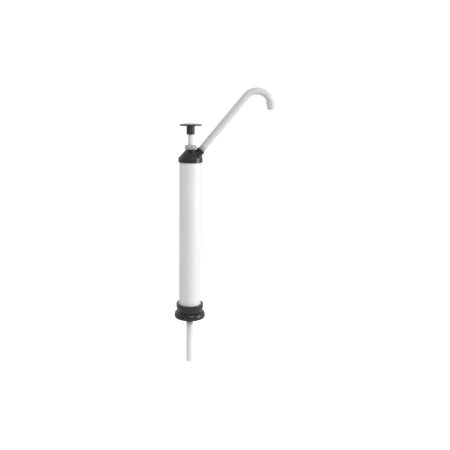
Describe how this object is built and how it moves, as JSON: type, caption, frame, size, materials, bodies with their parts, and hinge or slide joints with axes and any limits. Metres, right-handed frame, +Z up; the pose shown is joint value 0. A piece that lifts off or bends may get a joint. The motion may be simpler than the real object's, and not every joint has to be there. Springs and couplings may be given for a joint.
{
  "type": "plunger hand pump",
  "caption": "Upright plunger lift pump with palm knob, barrel, swivelling hook spout, screw collar for a drum neck, foot valve and dip tube.",
  "frame": {"origin": "centre of the gasket face that seals on the drum neck's rim, on the barrel's axis", "axes": "+Z up along the barrel and plunger axis, +X towards the spout"},
  "size_m": [0.2651, 0.0854, 0.7634],
  "materials": {
    "black_plastic": "satin moulded polypropylene",
    "white_pvc": "glossy extruded PVC",
    "rod_plastic": "smooth extruded PVC rod",
    "clear_tube": "translucent natural polyethylene",
    "gland_plastic": "grey translucent nylon",
    "seal_rubber": "matte nitrile rubber",
    "valve_plastic": "natural acetal",
    "stainless": "satin stainless steel",
    "brass": "turned brass"
  },
  "bodies": {
    "housing": {"barrel": "white_pvc", "barrel_seal": "seal_rubber", "base_cup": "black_plastic", "cap_seal": "seal_rubber", "collar_gasket": "seal_rubber", "dip_tube": "clear_tube", "foot_valve_body": "black_plastic", "foot_valve_cage": "valve_plastic", "gland_nut": "gland_plastic", "gland_packing": "seal_rubber", "gland_washer": "stainless", "spout_nut": "black_plastic", "spout_seal": "seal_rubber", "top_cap": "black_plastic", "valve_body_seal": "seal_rubber"},
    "collar": {"screw_collar": "black_plastic"},
    "spout": {"spout": "clear_tube", "spout_nozzle": "clear_tube", "spout_spigot": "black_plastic"},
    "cup_slide": {"piston_cup": "seal_rubber"},
    "plunger": {"piston_rod": "rod_plastic", "handle_knob": "black_plastic", "handle_screw": "stainless", "handle_plug": "black_plastic", "rod_insert": "brass", "rod_bumper": "seal_rubber", "valve_stop_washer": "stainless", "piston_body": "valve_plastic", "piston_follower": "valve_plastic", "piston_nut": "stainless"},
    "piston_valve": {"piston_valve_disc": "seal_rubber"},
    "foot_valve": {"foot_valve_poppet": "valve_plastic"}
  },
  "joints": [
    {"name": "plunger_slide", "type": "slide", "parent": "housing", "child": "cup_slide", "axis": [0, 0, 1], "range_m": [-0.0265, 0.343]},
    {"name": "plunger_turn", "type": "hinge", "parent": "cup_slide", "child": "plunger", "pos_m": [0, 0, 0.075], "axis": [0, 0, 1], "continuous": true},
    {"name": "piston_valve_lift", "type": "slide", "parent": "plunger", "child": "piston_valve", "axis": [0, 0, 1], "range_m": [0, 0.0036]},
    {"name": "foot_valve_lift", "type": "slide", "parent": "housing", "child": "foot_valve", "axis": [0, 0, 1], "range_m": [0, 0.005]},
    {"name": "collar_turn", "type": "hinge", "parent": "housing", "child": "collar", "pos_m": [0, 0, 0.005], "axis": [0, 0, 1], "continuous": true},
    {"name": "spout_turn", "type": "hinge", "parent": "housing", "child": "spout", "pos_m": [0.029, 0, 0.458], "axis": [0.6361, 0, 0.7716], "continuous": true}
  ]
}
